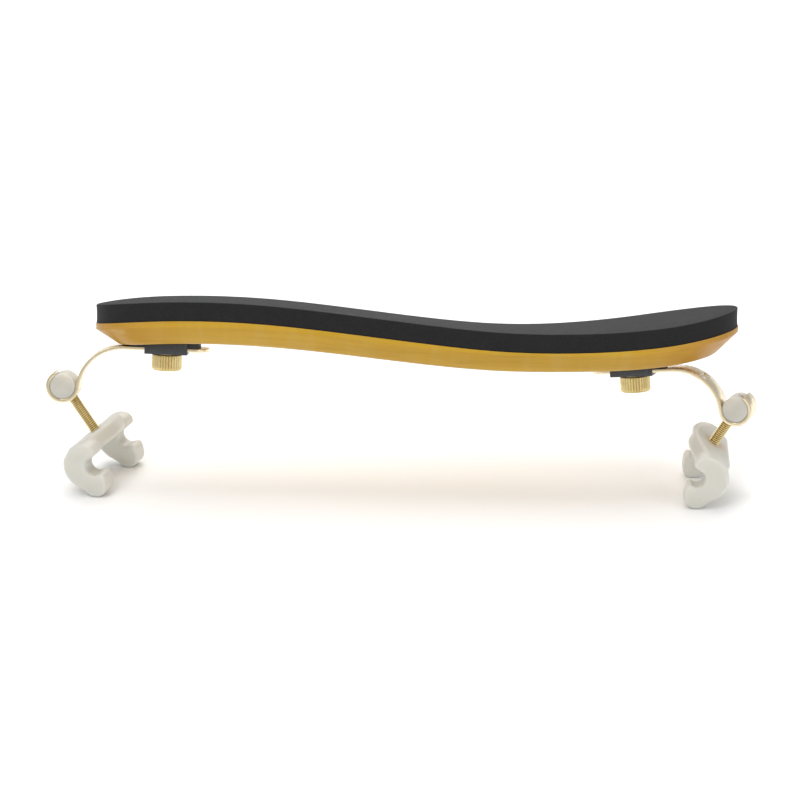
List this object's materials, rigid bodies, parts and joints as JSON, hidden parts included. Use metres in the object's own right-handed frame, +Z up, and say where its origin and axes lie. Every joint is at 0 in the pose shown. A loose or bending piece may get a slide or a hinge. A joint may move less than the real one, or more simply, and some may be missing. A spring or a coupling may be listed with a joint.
{
  "type": "violin shoulder rest",
  "caption": "Curved wooden bar with a foam pad and an adjustable brass strap bracket at each end, each carrying a fork foot that grips the violin's edge.",
  "frame": {"origin": "middle of the outline, on the surface the four claws stand on", "axes": "+X along the bar from the round end to the wider end, +Y away from the player's chest, +Z up, with the pad on top"},
  "size_m": [0.254, 0.0598, 0.0698],
  "materials": {
    "maple": "satin",
    "foam": "matte",
    "insert_brass": "satin",
    "liner": "matte",
    "guide_block": "matte",
    "strap_brass": "polished",
    "knob_brass": "satin",
    "stud_brass": "satin",
    "clear_plastic": "translucent satin",
    "foot_plastic": "translucent satin"
  },
  "bodies": {
    "bar": {"wood_body": "maple", "foam_pad": "foam", "threaded_insert_left": "insert_brass", "threaded_insert_right": "insert_brass"},
    "bracket_base_left": {"guide_block_left": "guide_block", "liner_left": "liner"},
    "strap_arm_left": {"strap_left": "strap_brass"},
    "roller_left": {"barrel_left": "clear_plastic"},
    "height_stud_left": {"stud_left": "stud_brass"},
    "fork_foot_left": {"foot_left": "foot_plastic"},
    "clamp_washer_left": {"washer_left": "knob_brass"},
    "clamp_knob_left": {"thumb_knob_left": "knob_brass", "clamp_screw_left": "knob_brass"},
    "bracket_base_right": {"guide_block_right": "guide_block", "liner_right": "liner"},
    "strap_arm_right": {"strap_right": "strap_brass"},
    "roller_right": {"barrel_right": "clear_plastic"},
    "height_stud_right": {"stud_right": "stud_brass"},
    "fork_foot_right": {"foot_right": "foot_plastic"},
    "clamp_washer_right": {"washer_right": "knob_brass"},
    "clamp_knob_right": {"thumb_knob_right": "knob_brass", "clamp_screw_right": "knob_brass"}
  },
  "joints": [
    {"name": "bracket_swivel_left", "type": "hinge", "parent": "bar", "child": "bracket_base_left", "pos_m": [-0.08403, 0.0047, 0.04828], "axis": [0.036, 0.1683, 0.9851], "range_deg": [-10, 10]},
    {"name": "strap_slide_left", "type": "slide", "parent": "bracket_base_left", "child": "strap_arm_left", "axis": [-0.9994, 0.0061, 0.0355], "range_m": [-0.0065, 0.0065]},
    {"name": "roller_tilt_left", "type": "hinge", "parent": "strap_arm_left", "child": "roller_left", "pos_m": [-0.12117, 0.00231, 0.0343], "axis": [0, -0.9857, 0.1684], "range_deg": [-14, 14]},
    {"name": "stud_travel_left", "type": "slide", "parent": "roller_left", "child": "height_stud_left", "axis": [-0.5583, 0.1397, 0.8178], "range_m": [-0.0014, 0.0035]},
    {"name": "foot_turn_left", "type": "hinge", "parent": "height_stud_left", "child": "fork_foot_left", "pos_m": [-0.11023, -0.00043, 0.01827], "axis": [-0.5583, 0.1397, 0.8178], "range_deg": [-720, 1800]},
    {"name": "washer_travel_left", "type": "slide", "parent": "bar", "child": "clamp_washer_left", "axis": [-0.036, -0.1683, -0.9851], "range_m": [0, 0.0014]},
    {"name": "knob_turn_left", "type": "hinge", "parent": "clamp_washer_left", "child": "clamp_knob_left", "pos_m": [-0.08403, 0.0047, 0.04828], "axis": [-0.036, -0.1683, -0.9851], "range_deg": [0, 720]},
    {"name": "bracket_swivel_right", "type": "hinge", "parent": "bar", "child": "bracket_base_right", "pos_m": [0.08374, 0.00364, 0.0421], "axis": [-0.0861, 0.1678, 0.9821], "range_deg": [-8, 24]},
    {"name": "strap_slide_right", "type": "slide", "parent": "bracket_base_right", "child": "strap_arm_right", "axis": [0.9475, -0.2908, 0.1327], "range_m": [-0.0065, 0.0065]},
    {"name": "roller_tilt_right", "type": "hinge", "parent": "strap_arm_right", "child": "roller_right", "pos_m": [0.11976, -0.00961, 0.03172], "axis": [0.3079, 0.9419, -0.134], "range_deg": [-14, 14]},
    {"name": "stud_travel_right", "type": "slide", "parent": "roller_right", "child": "height_stud_right", "axis": [0.5155, -0.0468, 0.8556], "range_m": [-0.0042, 0.00035]},
    {"name": "foot_turn_right", "type": "hinge", "parent": "height_stud_right", "child": "fork_foot_right", "pos_m": [0.11193, -0.0089, 0.01872], "axis": [0.5155, -0.0468, 0.8556], "range_deg": [-2160, 180]},
    {"name": "washer_travel_right", "type": "slide", "parent": "bar", "child": "clamp_washer_right", "axis": [0.0861, -0.1678, -0.9821], "range_m": [0, 0.0014]},
    {"name": "knob_turn_right", "type": "hinge", "parent": "clamp_washer_right", "child": "clamp_knob_right", "pos_m": [0.08374, 0.00364, 0.0421], "axis": [0.0861, -0.1678, -0.9821], "range_deg": [0, 720]}
  ],
  "couplings": [
    {"joint": "stud_travel_left", "follows": "foot_turn_left", "m_per_rad": 0.00011141},
    {"joint": "knob_turn_left", "follows": "washer_travel_left", "rad_per_m": 8976},
    {"joint": "stud_travel_right", "follows": "foot_turn_right", "m_per_rad": 0.00011141},
    {"joint": "knob_turn_right", "follows": "washer_travel_right", "rad_per_m": 8976}
  ]
}
